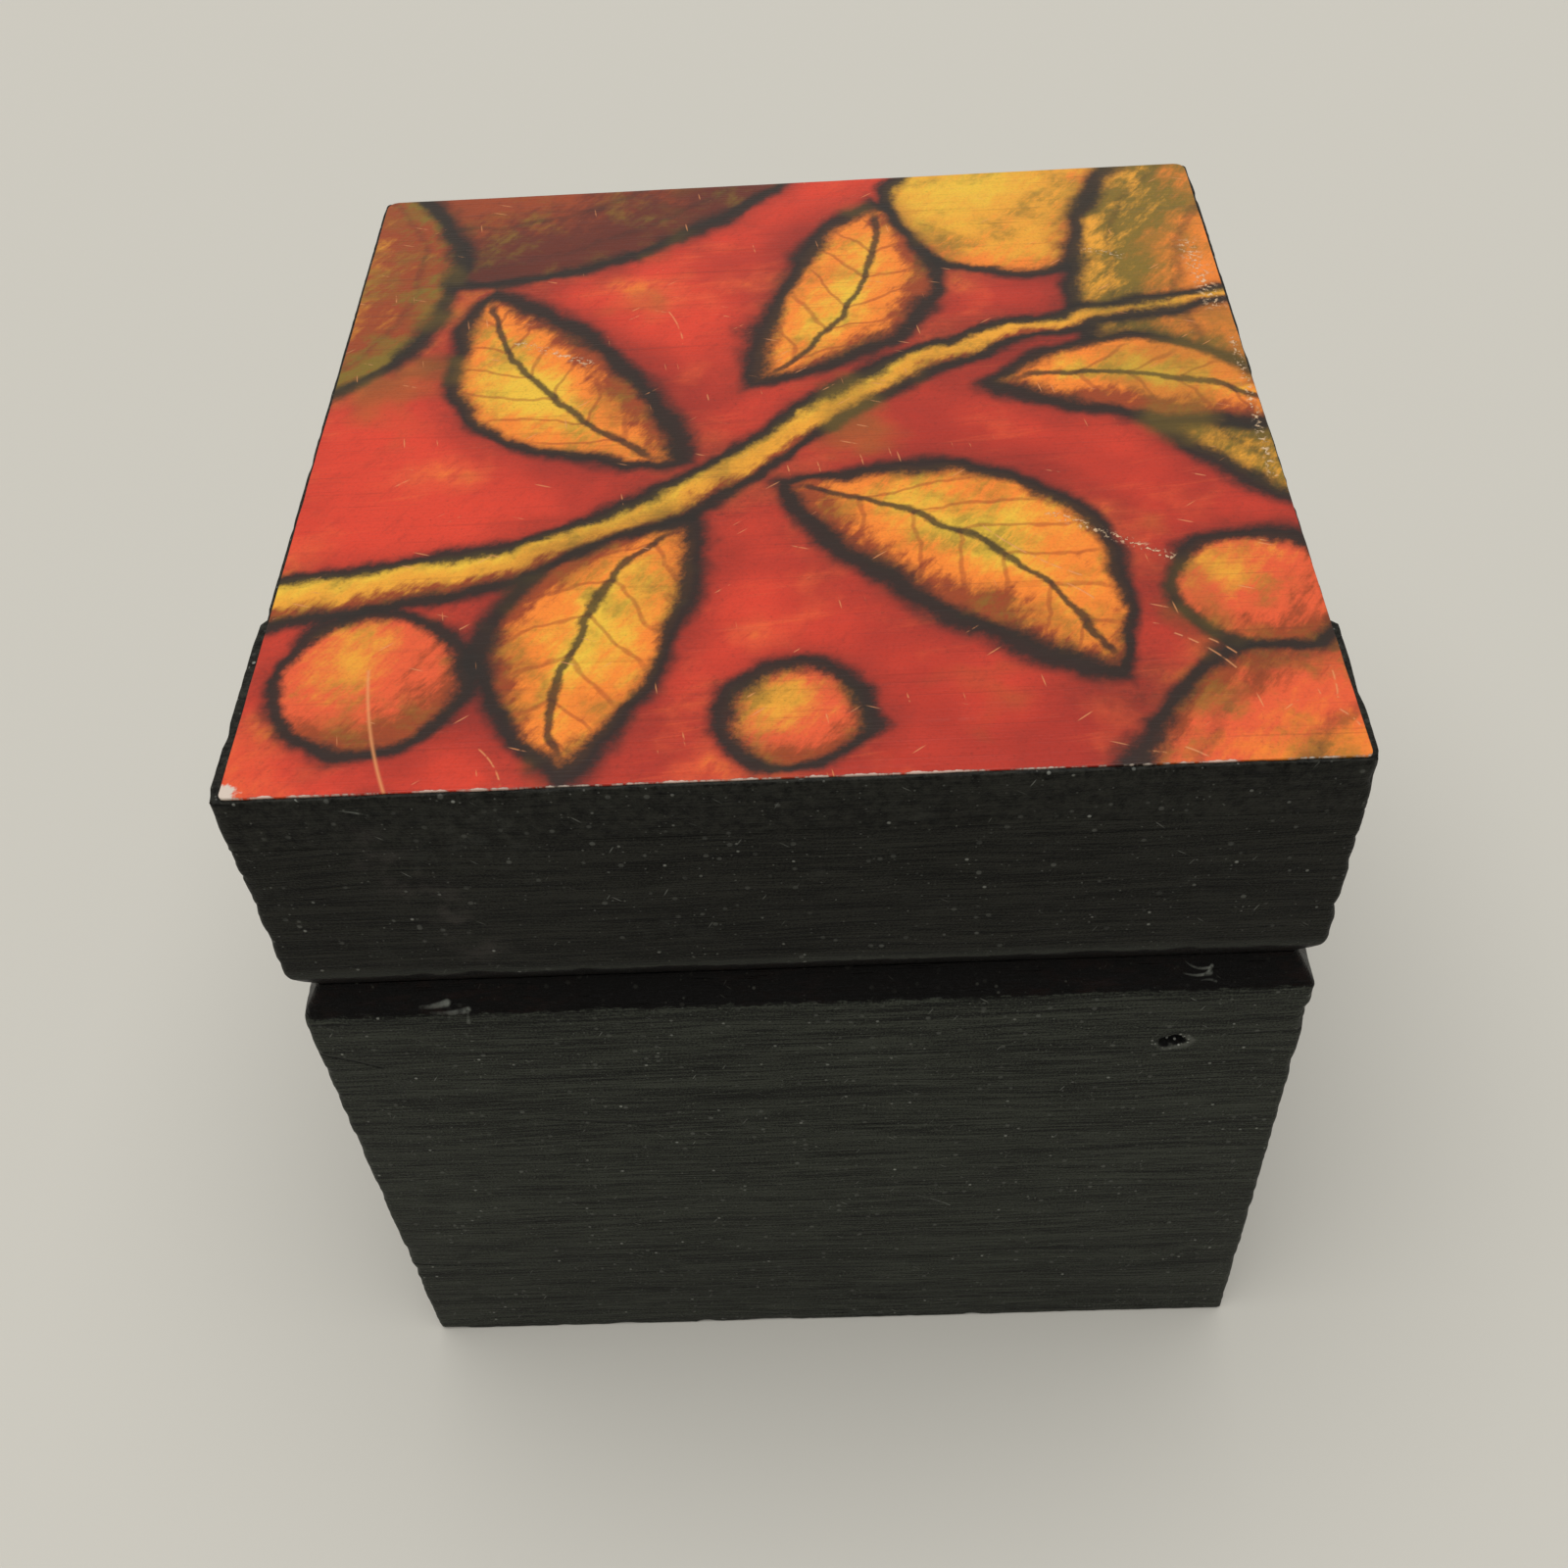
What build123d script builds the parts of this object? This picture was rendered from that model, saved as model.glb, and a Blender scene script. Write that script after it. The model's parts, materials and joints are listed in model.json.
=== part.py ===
from build123d import *
import os
from math import atan2, degrees

# A square wooden trinket box, painted black. Six-and-a-half millimetre boards are butt-jointed
# into a tall base and a shallow lid of the same footprint. A V groove runs right round the box
# at the line where they part, and two brass butt hinges are let into the rim at the back, with
# their barrels lying in the groove. A paper picture is pasted on top of the lid.
# Frame: origin under the middle of the base, X to the right, Y towards the hinges, Z up.

# Box
box_width = 100.0
box_depth = 100.0
base_height = 72.5
lid_height = 29.1
board = 6.5
corner_radius = 1.2
edge_chamfer = 0.4

# Groove round the parting line
groove_depth = 2.0
groove_half_height = 3.4

# The top board's front strip stands proud of the rest at both sides
top_step = 0.6
top_step_radius = 0.5
top_step_left_y = -27.0
top_step_right_y = -33.0

# Picture on the lid, cut a little narrower at the back
picture_left_x = -48.9
picture_front_right_x = 49.4
picture_back_right_x = 49.0
picture_depth = 99.2
picture_thickness = 0.2
picture_corner = 1.0

# Hinges
hinge_spacing = 50.0
hinge_length = 18.0
hinge_inset = 0.3
barrel_radius = 1.2
leaf_thickness = 0.7
leaf_gap = 0.05
leaf_reach = 5.5
knuckle_gap = 0.2
middle_knuckle = 6.8
knuckle_clearance = 0.25
pin_radius = 0.55
pin_clearance = 0.03
pin_head_radius = 0.8
pin_head_length = 0.35
pin_head_chamfer = 0.2
mortise_clearance = 0.05

# Hinge screws
screw_spacing = 10.0
screw_reach = 3.7
screw_length = 6.2
screw_radius = 0.8
screw_head_radius = 1.4
screw_point_length = 1.0
screw_point_radius = 0.2
screw_slot_width = 0.4
screw_slot_depth = 0.3
screw_clearance = 0.03

# Worked out from the sizes above
box_height = base_height + lid_height
lid_frame_top = box_height - board
inner_width = box_width - 2 * board
inner_depth = box_depth - 2 * board
hinge_y = box_depth / 2 - hinge_inset
knuckle_reach = barrel_radius + knuckle_clearance
middle_half = middle_knuckle / 2
outer_start = middle_half + knuckle_gap
outer_end = hinge_length / 2
outer_knuckles = [(-outer_end, -outer_start), (outer_start, outer_end)]
middle_knuckles = [(-middle_half, middle_half)]
screw_head_drop = screw_head_radius - screw_radius
cut_past = 2.0


def block(x, y, z):
    """A box between the low and high limits given along each axis."""
    size = (x[1] - x[0], y[1] - y[0], z[1] - z[0])
    middle = ((x[0] + x[1]) / 2, (y[0] + y[1]) / 2, (z[0] + z[1]) / 2)
    return Pos(*middle) * Box(*size)


def half_envelope(height):
    """The outside of the base: a block with softened corners and a bevel round its top."""
    straight = height - groove_half_height
    bevel_angle = degrees(atan2(groove_depth, groove_half_height))
    footprint = Rectangle(box_width, box_depth)
    body = extrude(footprint, straight)
    body += extrude(Pos(0, 0, straight) * footprint, groove_half_height, taper=bevel_angle)
    soft = extrude(RectangleRounded(box_width, box_depth, corner_radius), height)
    soft = chamfer(soft.faces().sort_by(Axis.Z)[0].edges(), edge_chamfer)
    return body & soft


def base_envelope():
    """The outside of the whole base."""
    return half_envelope(base_height)


def lid_envelope():
    """The outside of the whole lid, which is a short base turned upside down."""
    return Pos(0, 0, box_height) * mirror(half_envelope(lid_height), Plane.XY)


def frame_boards(envelope, low, high):
    """The four walls of the base or of the lid: front and back run full width."""
    half_x, half_y = box_width / 2, box_depth / 2
    in_x, in_y = inner_width / 2, inner_depth / 2
    z = (low, high)
    return {
        "front": envelope & block((-half_x, half_x), (-half_y, -in_y), z),
        "back": envelope & block((-half_x, half_x), (in_y, half_y), z),
        "left": envelope & block((-half_x, -in_x), (-in_y, in_y), z),
        "right": envelope & block((in_x, half_x), (-in_y, in_y), z),
    }


def bottom_board():
    """The floor of the box, let in between the four walls and flush underneath."""
    in_x, in_y = inner_width / 2, inner_depth / 2
    return block((-in_x, in_x), (-in_y, in_y), (0, board))


def vertical_edge(solid, x, y):
    """The upright edge of a solid that stands nearest to a point."""
    uprights = solid.edges().filter_by(Axis.Z)
    return uprights.sort_by_distance((x, y, solid.center().Z))[0]


def lid_top_board():
    """The top of the lid, laid over its four walls. Its front strip is a little wider."""
    half_x, half_y = box_width / 2, box_depth / 2
    in_x = half_x - top_step
    points = [
        (-half_x, -half_y),
        (half_x, -half_y),
        (half_x, top_step_right_y),
        (in_x, top_step_right_y),
        (in_x, half_y),
        (-in_x, half_y),
        (-in_x, top_step_left_y),
        (-half_x, top_step_left_y),
    ]
    outline = make_face(Polyline(*points, close=True))
    solid = extrude(Pos(0, 0, lid_frame_top) * outline, board)
    corners = [points[0], points[1], points[4], points[5]]
    steps = [points[2], points[7]]
    solid = fillet([vertical_edge(solid, x, y) for x, y in corners], corner_radius)
    solid = fillet([vertical_edge(solid, x, y) for x, y in steps], top_step_radius)
    return chamfer(solid.faces().sort_by(Axis.Z)[-1].edges(), edge_chamfer)


def print_sheet():
    """The paper picture, which reaches almost to the edges of the top, with rounded corners."""
    half_y = picture_depth / 2
    points = [
        (picture_left_x, -half_y),
        (picture_front_right_x, -half_y),
        (picture_back_right_x, half_y),
        (picture_left_x, half_y),
    ]
    outline = make_face(Polyline(*points, close=True))
    solid = extrude(Pos(0, 0, box_height) * outline, picture_thickness)
    return fillet([vertical_edge(solid, x, y) for x, y in points], picture_corner)


# The hinge pieces below lie in the hinge's own frame: X along the pin, -Y towards the inside of
# the box, and the parting plane at Z = 0. Each is made for the base and mirrored for the lid.


def turned(points, x, y, z):
    """A solid of revolution about a vertical axis, from its half profile."""
    profile = make_face(Plane.XZ * Polyline(*points, close=True))
    return Pos(x, y, z) * revolve(profile, Axis.Z)


def screw_places():
    """Where the screws of one leaf go."""
    return [(side * screw_spacing / 2, -screw_reach) for side in (-1, 1)]


def screw(x, y):
    """One countersunk slotted screw, its head flush with the face of the leaf."""
    points = [
        (0, 0),
        (screw_head_radius, 0),
        (screw_radius, -screw_head_drop),
        (screw_radius, screw_point_length - screw_length),
        (screw_point_radius, -screw_length),
        (0, -screw_length),
    ]
    slot = block(
        (-screw_head_radius, screw_head_radius),
        (-screw_slot_width / 2, screw_slot_width / 2),
        (-screw_slot_depth, screw_slot_depth),
    )
    return turned(points, x, y, -leaf_gap) - Pos(x, y, -leaf_gap) * slot


def screw_space(x, y):
    """The countersunk hole that one screw sits in, through the leaf and into the board."""
    head = screw_head_radius + screw_clearance
    shank = screw_radius + screw_clearance
    deep = -screw_length - screw_clearance
    points = [(0, 0), (head, 0), (shank, -screw_head_drop), (shank, deep), (0, deep)]
    above = block((-head, head), (-head, head), (0, leaf_gap))
    return turned(points, x, y, -leaf_gap) + Pos(x, y, -leaf_gap) * above


def knuckles(spans, radius):
    """Round lengths of the hinge barrel over the given spans."""
    pieces = [
        Pos((low + high) / 2, 0, 0) * Cylinder(radius, high - low, rotation=(0, 90, 0))
        for low, high in spans
    ]
    return sum(pieces[1:], pieces[0])


def leaf(own_spans, other_spans):
    """One hinge leaf: a flat plate with its own knuckles, cut back clear of the other leaf's."""
    half = hinge_length / 2
    shape = block((-half, half), (-leaf_reach, 0), (-leaf_gap - leaf_thickness, -leaf_gap))
    for low, high in other_spans:
        x = (low - knuckle_gap, high + knuckle_gap)
        shape -= block(x, (-knuckle_reach, cut_past), (-cut_past, cut_past))
    shape += knuckles(own_spans, barrel_radius)
    shape -= knuckles([(-half - cut_past, half + cut_past)], pin_radius + pin_clearance)
    for x, y in screw_places():
        shape -= screw_space(x, y)
    return shape


def pin():
    """The hinge pin, with a low chamfered head at each end of the barrel."""
    head = Cylinder(pin_head_radius, pin_head_length, rotation=(0, 90, 0))
    head = chamfer(head.edges().sort_by(Axis.X)[-1], pin_head_chamfer)
    head = Pos((hinge_length + pin_head_length) / 2, 0, 0) * head
    shank = Cylinder(pin_radius, hinge_length, rotation=(0, 90, 0))
    return shank + head + mirror(head, Plane.YZ)


def mortise():
    """What is cut from a board for one leaf: its pocket and the holes for its screws."""
    half = hinge_length / 2 + mortise_clearance
    inner = -leaf_reach - mortise_clearance
    shape = block((-half, half), (inner, cut_past), (-leaf_gap - leaf_thickness, cut_past))
    for x, y in screw_places():
        shape += screw_space(x, y)
    return shape


def leaf_screws():
    """The two screws of the base leaf, as separate solids."""
    return [screw(x, y) for x, y in screw_places()]


def upside_down(shape):
    """A hinge piece of the base turned into its partner on the lid."""
    return mirror(shape, Plane.XY)


def place_hinge(shape, x):
    """Puts a hinge piece on the hinge axis at the back of the box."""
    return Pos(x, hinge_y, base_height) * shape


def build_nodes():
    """Every piece of the box, under its own name."""
    base_walls = frame_boards(base_envelope(), 0, base_height)
    lid_walls = frame_boards(lid_envelope(), base_height, lid_frame_top)
    nodes = {"bottom_board": bottom_board(), "lid_top_board": lid_top_board()}
    nodes["print_sheet"] = print_sheet()

    base_leaf = leaf(outer_knuckles, middle_knuckles)
    lid_leaf = upside_down(leaf(middle_knuckles, outer_knuckles))
    base_screws = Compound([one.solid() for one in leaf_screws()])
    lid_screws = Compound([upside_down(one).solid() for one in leaf_screws()])
    base_mortise = mortise()
    lid_mortise = upside_down(base_mortise)

    for side, x in (("left", -hinge_spacing / 2), ("right", hinge_spacing / 2)):
        base_walls["back"] -= place_hinge(base_mortise, x)
        lid_walls["back"] -= place_hinge(lid_mortise, x)
        nodes[f"{side}_hinge_base_leaf"] = place_hinge(base_leaf, x)
        nodes[f"{side}_hinge_lid_leaf"] = place_hinge(lid_leaf, x)
        nodes[f"{side}_hinge_pin"] = place_hinge(pin(), x)
        nodes[f"{side}_hinge_base_screws"] = place_hinge(base_screws, x)
        nodes[f"{side}_hinge_lid_screws"] = place_hinge(lid_screws, x)

    for side, wall in base_walls.items():
        nodes[f"base_{side}_board"] = wall
    for side, wall in lid_walls.items():
        nodes[f"lid_{side}_board"] = wall
    return nodes


os.makedirs("parts", exist_ok=True)
for name, shape in build_nodes().items():
    export_step(shape, f"parts/{name}.step")
    print(name, len(shape.solids()), "solids", round(shape.volume, 2), "mm3")
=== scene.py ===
import json
import math

import bpy
import numpy as np
from mathutils import Matrix, Vector


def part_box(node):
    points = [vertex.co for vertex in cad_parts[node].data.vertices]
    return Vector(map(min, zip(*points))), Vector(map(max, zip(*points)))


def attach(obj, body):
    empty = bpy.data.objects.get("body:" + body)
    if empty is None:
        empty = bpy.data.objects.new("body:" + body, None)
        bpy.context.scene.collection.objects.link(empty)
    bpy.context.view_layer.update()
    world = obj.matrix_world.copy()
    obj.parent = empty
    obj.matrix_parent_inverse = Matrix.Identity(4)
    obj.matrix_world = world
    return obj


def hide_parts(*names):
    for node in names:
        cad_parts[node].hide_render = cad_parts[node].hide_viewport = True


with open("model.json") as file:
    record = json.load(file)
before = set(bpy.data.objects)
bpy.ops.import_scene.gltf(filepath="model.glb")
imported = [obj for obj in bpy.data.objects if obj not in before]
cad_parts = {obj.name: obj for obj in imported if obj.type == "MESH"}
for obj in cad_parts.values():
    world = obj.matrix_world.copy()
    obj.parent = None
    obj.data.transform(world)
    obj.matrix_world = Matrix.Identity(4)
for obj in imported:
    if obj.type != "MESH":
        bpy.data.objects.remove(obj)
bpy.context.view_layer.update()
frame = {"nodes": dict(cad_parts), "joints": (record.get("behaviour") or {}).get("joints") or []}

# Lengths in this script are millimetres in the row frame, unless a name says otherwise.
METRES = 0.001

# The box, read from the frame
PARTING_Z = frame["joints"][0]["pos_m"][2] / METRES
HINGE_Y = frame["joints"][0]["pos_m"][1] / METRES
TOP_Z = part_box("lid_top_board")[1].z / METRES
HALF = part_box("lid_top_board")[1].x / METRES
FRAME_TOP_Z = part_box("lid_top_board")[0].z / METRES
PICTURE_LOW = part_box("print_sheet")[0] / METRES
PICTURE_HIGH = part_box("print_sheet")[1] / METRES

# The groove, the lid's stepped sides and the hinge pockets, as the CAD model has them
GROOVE_DEPTH = 2.0
GROOVE_HALF = 3.4
STEP = 0.6
STEP_LEFT_Y = -27.0
STEP_RIGHT_Y = -33.0
STEP_RUN = 0.5
POCKET_HALF_LENGTH = 9.05
POCKET_INNER_Y = HINGE_Y - 5.55
POCKET_DEPTH = 0.75
HINGE_XS = (-25.0, 25.0)

# The paper: its mesh cell, how deep it lies in the worn wood, how much narrower it is at the back,
# what is trimmed off its right side, the radii of its corners and how far its edges are torn
PICTURE_CELL = 0.8
PICTURE_SUNK = 0.15
PICTURE_NARROWER_BACK = 0.4
PICTURE_TRIM = 0.15
PICTURE_FRONT_CORNER = 0.5
PICTURE_BACK_CORNER = 1.3
PICTURE_TORN = 0.06

# Light scratches in the picture: a long one with its start, end, half width and bend, and finer
# ones with one half width for all, each with its start, end and bend
LONG_SCRATCH = ((-38.6, -34.6), (-34.9, -49.8), 0.3, -0.5)
FINE_HALF_WIDTH = 0.16
PICTURE_SCRATCHES = (
    ((-26.7, -44.4), (-24.1, -49.1), 0.4),
    ((18.8, -18.1), (27.3, -25.8), -0.6),
    ((35.4, -33.5), (40.0, -38.2), 0.4),
    ((38.1, -34.6), (40.1, -36.5), 0.1),
    ((26.4, -26.4), (28.5, -28.5), 0.1),
    ((33.2, -47.3), (36.2, -49.4), 0.2),
    ((48.0, -38.8), (47.8, -42.6), 0.1),
    ((47.7, -44.1), (48.9, -45.9), 0.1),
    ((30.5, -48.1), (32.1, -48.3), 0.1),
    ((-12.6, 22.3), (-10.8, 15.9), 0.3),
)

# Places where the print has crinkles with flaked varnish and painted highlights, each with its start,
# end and half width
CRINKLES = (
    ((46.4, 31.0), (47.4, 19.0), 1.7),
    ((35.0, 31.2), (38.6, 29.4), 0.8),
    ((48.3, 12.0), (48.0, -12.0), 0.7),
    ((26.0, -16.2), (36.2, -23.2), 0.9),
    ((-29.4, 17.5), (-21.4, 13.0), 0.9),
)

# Radii of the wood's edges, and the share of the wear that opens the joint below the top board
FRONT_CORNER_RADIUS = 0.8
BACK_CORNER_RADIUS = 1.3
RIM_RADIUS = 0.35
JOINT_RADIUS = 0.04
JOINT_SINK = 0.45

# Where a mesh has more lines, so that it can bend there: how far in from the ends of a board, how
# far from the groove's edges, and round the knot hole how far from its middle and how close
EDGE_LINES = (0.1, 0.25, 0.5, 0.8, 1.3)
GROOVE_LINES = (-0.5, -0.2, 0.0, 0.2, 0.5)
PIT_LINES_X = 1.8
PIT_LINES_Z = 1.2
PIT_CELL = 0.2

# A noise size so long that the noise hardly changes along its axis
ALIKE = 99.0

# Camera, from a fit to the box's corners in the photograph
FRAME_PX = 1600
FOCAL_PX = 1782
CAMERA_PLACE = (5.2, -149.6, 210.4)
CAMERA_DIP = 47.54
CAMERA_YAW = 3.12
CAMERA_ROLL = -4.49
SENSOR = 36.0

# Strength of the surrounding as a light, and where it is seen
WORLD_LIGHT = 0.22
WORLD_SEEN = 0.73

# The overhead light: the direction it comes from, its width in degrees and its strength
LIGHT_FROM = (-0.05, -0.07, 1.1)
LIGHT_WIDTH = 65
LIGHT_STRENGTH = 2.75

# The floor, in metres from its middle to its sides
FLOOR_REACH = 30.0


def smooth(value, low, high):
    """0 where value is at low, 1 where it is at high, and a soft ramp between."""
    t = np.clip((value - low) / (high - low), 0, 1)
    return t * t * (3 - 2 * t)


def near(distance, reach):
    """1 at no distance, falling softly towards 0 past reach."""
    return np.exp(-np.square(distance / reach))


# Odd numbers that scatter the bits of a place and a seed
HASH_SEED = 2654435761
HASH_STEPS = (73856093, 19349663, 83492791)
HASH_MIX = (0x7FEB352D, 0x846CA68B)


def lattice_random(cells, seed):
    """A fixed random number from -1 to 1 for each whole-numbered place."""
    mixed = np.full(len(cells), seed * HASH_SEED % 2**32, np.uint64)
    for axis, step in enumerate(HASH_STEPS):
        mixed ^= (cells[:, axis] * step).astype(np.uint64) & np.uint64(0xFFFFFFFF)
    for factor in HASH_MIX:
        mixed ^= mixed >> np.uint64(15)
        mixed = (mixed * np.uint64(factor)) & np.uint64(0xFFFFFFFF)
    return mixed.astype(float) / 2**31 - 1


def noise(points, size, seed):
    """Smooth random values from -1 to 1, with features about size millimetres across."""
    places = points / np.asarray(size, float)
    cells = np.floor(places).astype(np.int64)
    part = places - cells
    part = part * part * (3 - 2 * part)
    total = np.zeros(len(points))
    for corner in np.ndindex(2, 2, 2):
        weight = np.where(corner, part, 1 - part).prod(1)
        total += weight * lattice_random(cells + np.array(corner), seed)
    return total


def lattice(low, high, cell, stops=()):
    """Rising places about a cell apart, with each stop among them and closer ones at both ends."""
    ends = [low + gap for gap in EDGE_LINES] + [high - gap for gap in EDGE_LINES]
    marks = sorted({low, high, *ends, *(s for s in stops if low < s < high)})
    places = []
    for a, b in zip(marks, marks[1:]):
        count = max(1, round((b - a) / cell))
        places += [a + (b - a) * i / count for i in range(count)]
    return np.array(places + [high])


def lattice_box(xs, ys, zs):
    """Points and quads of a closed box whose faces are cut at the given places."""
    shape = (len(xs), len(ys), len(zs))
    skin = np.zeros(shape, bool)
    skin[[0, -1]] = True
    skin[:, [0, -1]] = True
    skin[:, :, [0, -1]] = True
    index = np.full(shape, -1)
    index[skin] = np.arange(skin.sum())
    points = np.stack(np.meshgrid(xs, ys, zs, indexing="ij"), -1)[skin]
    faces = (
        (index[0], True),
        (index[-1], False),
        (index[:, 0], False),
        (index[:, -1], True),
        (index[:, :, 0], True),
        (index[:, :, -1], False),
    )
    quads = []
    for face, turned in faces:
        corners = [face[:-1, :-1], face[1:, :-1], face[1:, 1:], face[:-1, 1:]]
        if turned:
            corners.reverse()
        quads.append(np.stack(corners, -1).reshape(-1, 4))
    return points, np.concatenate(quads)


def vertex_normals(points, quads):
    """Unit normals, each the mean of the faces round its point."""
    a, b, c, d = (points[quads[:, i]] for i in range(4))
    across = np.cross(c - a, d - b)
    normals = np.zeros_like(points)
    for i in range(4):
        np.add.at(normals, quads[:, i], across)
    return normals / np.maximum(np.linalg.norm(normals, axis=1, keepdims=True), 1e-12)


def make_piece(name, points, quads, body, material, nodes):
    """A smooth-shaded mesh object that stands for CAD nodes and moves with their body."""
    mesh = bpy.data.meshes.new(name)
    mesh.from_pydata((points * METRES).tolist(), [], quads.tolist())
    mesh.polygons.foreach_set("use_smooth", [True] * len(mesh.polygons))
    mesh.materials.append(material)
    piece = bpy.data.objects.new(name, mesh)
    bpy.context.scene.collection.objects.link(piece)
    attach(piece, body)
    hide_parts(*nodes)
    return piece


class Field:
    """A number at every point of a surface, worked out by shader nodes."""

    def __init__(self, paint, socket):
        self.paint = paint
        self.socket = socket

    def math(self, operation, *others):
        return self.paint.math(operation, self, *others)

    def __add__(self, other):
        return self.math("ADD", other)

    def __sub__(self, other):
        return self.math("SUBTRACT", other)

    def __mul__(self, other):
        return self.math("MULTIPLY", other)

    def __truediv__(self, other):
        return self.math("DIVIDE", other)

    def __rsub__(self, other):
        return self.paint.math("SUBTRACT", other, self)

    __radd__ = __add__
    __rmul__ = __mul__

    def abs(self):
        return self.math("ABSOLUTE")

    def low(self, other):
        return self.math("MINIMUM", other)

    def high(self, other):
        return self.math("MAXIMUM", other)

    def ramp(self, start, end):
        """0 at start, 1 at end, and a soft ramp between."""
        node = self.paint.node("ShaderNodeMapRange", interpolation_type="SMOOTHSTEP")
        node.inputs["From Min"].default_value = min(start, end)
        node.inputs["From Max"].default_value = max(start, end)
        node.inputs["To Min"].default_value = 0.0 if start < end else 1.0
        node.inputs["To Max"].default_value = 1.0 if start < end else 0.0
        self.paint.put(node.inputs["Value"], self)
        return Field(self.paint, node.outputs["Result"])


class Paint:
    """A material under construction: short calls for the nodes that make it."""

    def __init__(self, name):
        self.material = bpy.data.materials.new(name)
        self.material.use_nodes = True
        self.tree = self.material.node_tree
        self.shader = self.tree.nodes["Principled BSDF"]
        where = self.node("ShaderNodeTexCoord").outputs["Object"]
        self.place = self.vector("SCALE", where, scale=1 / METRES)
        apart = self.node("ShaderNodeSeparateXYZ")
        self.put(apart.inputs[0], self.place)
        self.x, self.y, self.z = (Field(self, apart.outputs[i]) for i in range(3))

    def node(self, kind, **settings):
        node = self.tree.nodes.new(kind)
        for name, value in settings.items():
            setattr(node, name, value)
        return node

    def put(self, socket, value):
        """Sets a socket to a number or colour, or links it to another socket."""
        value = value.socket if isinstance(value, Field) else value
        if isinstance(value, bpy.types.NodeSocket):
            self.tree.links.new(value, socket)
        else:
            socket.default_value = value

    def math(self, operation, *values):
        node = self.node("ShaderNodeMath", operation=operation)
        for socket, value in zip(node.inputs, values):
            self.put(socket, value)
        return Field(self, node.outputs[0])

    def vector(self, operation, first, second=None, scale=None):
        node = self.node("ShaderNodeVectorMath", operation=operation)
        self.put(node.inputs[0], first)
        if second is not None:
            self.put(node.inputs[1], second)
        if scale is not None:
            self.put(node.inputs["Scale"], scale)
        return node.outputs[0]

    def join(self, x, y, z):
        node = self.node("ShaderNodeCombineXYZ")
        for socket, value in zip(node.inputs, (x, y, z)):
            self.put(socket, value)
        return node.outputs[0]

    def layer(self, height):
        """The place at a height of its own, for noise that is unlike the other layers'."""
        return self.join(self.x, self.y, height)

    def stretched(self, size, place=None, turn=0.0):
        """The place divided by a feature size along each axis, turned about Z by an angle first."""
        node = self.node("ShaderNodeMapping", vector_type="POINT")
        node.inputs["Rotation"].default_value = (0, 0, math.radians(turn))
        self.put(node.inputs["Vector"], self.place if place is None else place)
        return self.vector("DIVIDE", node.outputs[0], size)

    def noise(self, size, detail=2.0, rough=0.5, place=None, turn=0.0):
        """Cloudy values about 0.5, with features of the given size along each axis."""
        size = size if isinstance(size, tuple) else (size, size, size)
        node = self.node("ShaderNodeTexNoise")
        self.put(node.inputs["Vector"], self.stretched(size, place, turn))
        node.inputs["Scale"].default_value = 1.0
        node.inputs["Detail"].default_value = detail
        node.inputs["Roughness"].default_value = rough
        return Field(self, node.outputs["Fac"])

    def flecks(self, size, radius, share, place=None, turn=0.0):
        """Soft marks scattered one to a cell, in that share of the cells."""
        size = size if isinstance(size, tuple) else (size, size, size)
        node = self.node("ShaderNodeTexVoronoi")
        self.put(node.inputs["Vector"], self.stretched(size, place, turn))
        node.inputs["Scale"].default_value = 1.0
        mark = Field(self, node.outputs["Distance"]).ramp(radius, radius * 0.5)
        tone = self.node("ShaderNodeSeparateColor")
        self.put(tone.inputs[0], node.outputs["Color"])
        return mark * Field(self, tone.outputs[0]).ramp(share, share * 0.97)

    def mix(self, amount, first, second):
        """first where amount is 0, second where it is 1. Each is a colour or a colour socket.

        The node's sockets for colours are its inputs 6 and 7 and its output 2.
        """
        node = self.node("ShaderNodeMix", data_type="RGBA")
        self.put(node.inputs["Factor"], amount)
        self.put(node.inputs[6], first)
        self.put(node.inputs[7], second)
        return node.outputs[2]

    def finish(self, colour, rough, bump=None, height=0.0, metallic=0.0):
        """Ends the material with its colour, roughness and bumps of a height in metres."""
        self.put(self.shader.inputs["Base Color"], colour)
        self.put(self.shader.inputs["Roughness"], rough)
        self.shader.inputs["Metallic"].default_value = metallic
        if bump is not None:
            node = self.node("ShaderNodeBump")
            node.inputs["Distance"].default_value = height
            self.put(node.inputs["Height"], bump)
            self.put(self.shader.inputs["Normal"], node.outputs["Normal"])
        return self.material


def rgb(red, green, blue):
    """A colour given as screen values from 0 to 255, as the linear colour that shows so."""
    def linear(value):
        value = value / 255
        return value / 12.92 if value <= 0.04045 else ((value + 0.055) / 1.055) ** 2.4

    return (linear(red), linear(green), linear(blue), 1.0)


def hypot(a, b):
    """How far apart two places are, from their gaps along two axes."""
    return (a * a + b * b).math("SQRT")


def turned(x, y, middle, angle):
    """How far along and how far across a direction a place lies, from a middle."""
    cos, sin = math.cos(math.radians(angle)), math.sin(math.radians(angle))
    right, back = x - middle[0], y - middle[1]
    return right * cos + back * sin, back * cos - right * sin


def bent(x, y, start, end, bend):
    """How far along a curve from start to end a place lies, from its middle, and how far off it."""
    length = math.dist(start, end)
    middle = ((start[0] + end[0]) / 2, (start[1] + end[1]) / 2)
    angle = math.degrees(math.atan2(end[1] - start[1], end[0] - start[0]))
    along, off = turned(x, y, middle, angle)
    if bend:
        off = off + along * along * (4 * bend / length**2)
    return along, off, length


def stroke(x, y, start, end, half_width, bend=0.0):
    """A thin mark from start to end, 1 on its middle line."""
    along, off, length = bent(x, y, start, end, bend)
    gap = off.abs().high(along.abs() - length / 2)
    return gap.ramp(half_width, -half_width * 0.2)


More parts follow.
